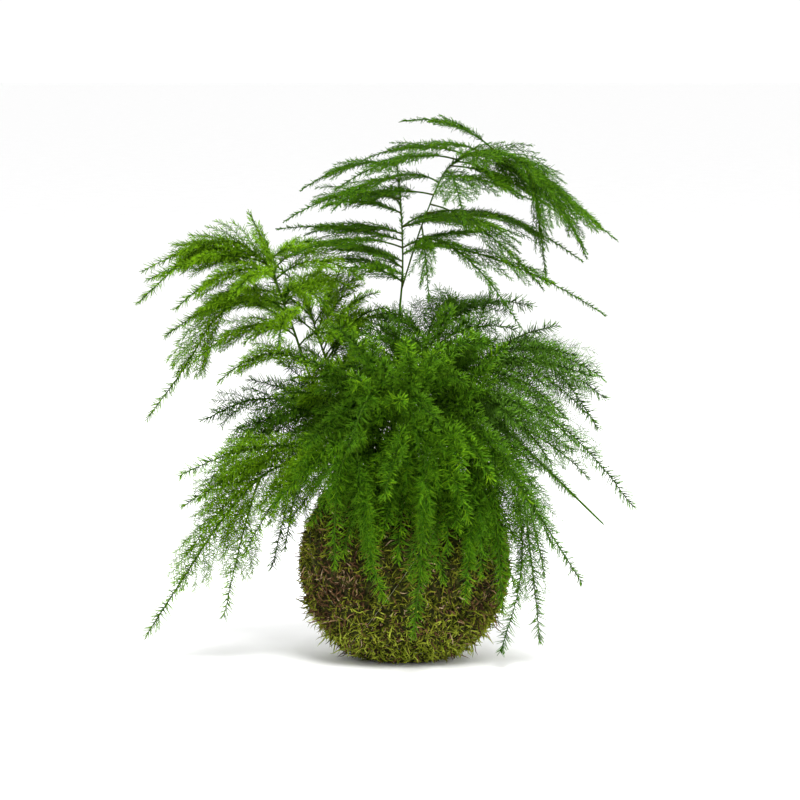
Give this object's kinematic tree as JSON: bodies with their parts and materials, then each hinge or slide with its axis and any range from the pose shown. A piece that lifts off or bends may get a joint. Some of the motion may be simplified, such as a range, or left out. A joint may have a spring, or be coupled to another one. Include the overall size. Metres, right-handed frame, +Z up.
{
  "type": "kokedama moss ball plant",
  "caption": "Asparagus fern with arching feathery fronds growing out of a moss-wrapped ball of soil that rests on a small flat spot.",
  "frame": {"origin": "middle of the small flat spot under the moss ball, which it rests on", "axes": "+Z is up, the front that the picture shows faces -Y, and +X is to the right of that view"},
  "size_m": [0.2903, 0.2166, 0.3162],
  "materials": {
    "soil": "matte",
    "moss": "matte",
    "thread": "satin",
    "fern": "satin"
  },
  "bodies": {
    "root": {"soil_core": "soil", "moss_cover": "moss", "binding_thread": "thread", "frond_tall": "fern", "frond_left_high": "fern", "frond_left_mid": "fern", "frond_right_high": "fern", "frond_right_long": "fern", "frond_right_low": "fern", "frond_left_low": "fern", "frond_left_back": "fern", "frond_front_left": "fern", "frond_front_mid": "fern", "frond_front_right": "fern", "frond_middle": "fern", "frond_front_high": "fern", "frond_right_front": "fern", "frond_back_left": "fern", "frond_back_mid": "fern", "frond_back_right": "fern", "frond_back_high": "fern"}
  },
  "joints": []
}
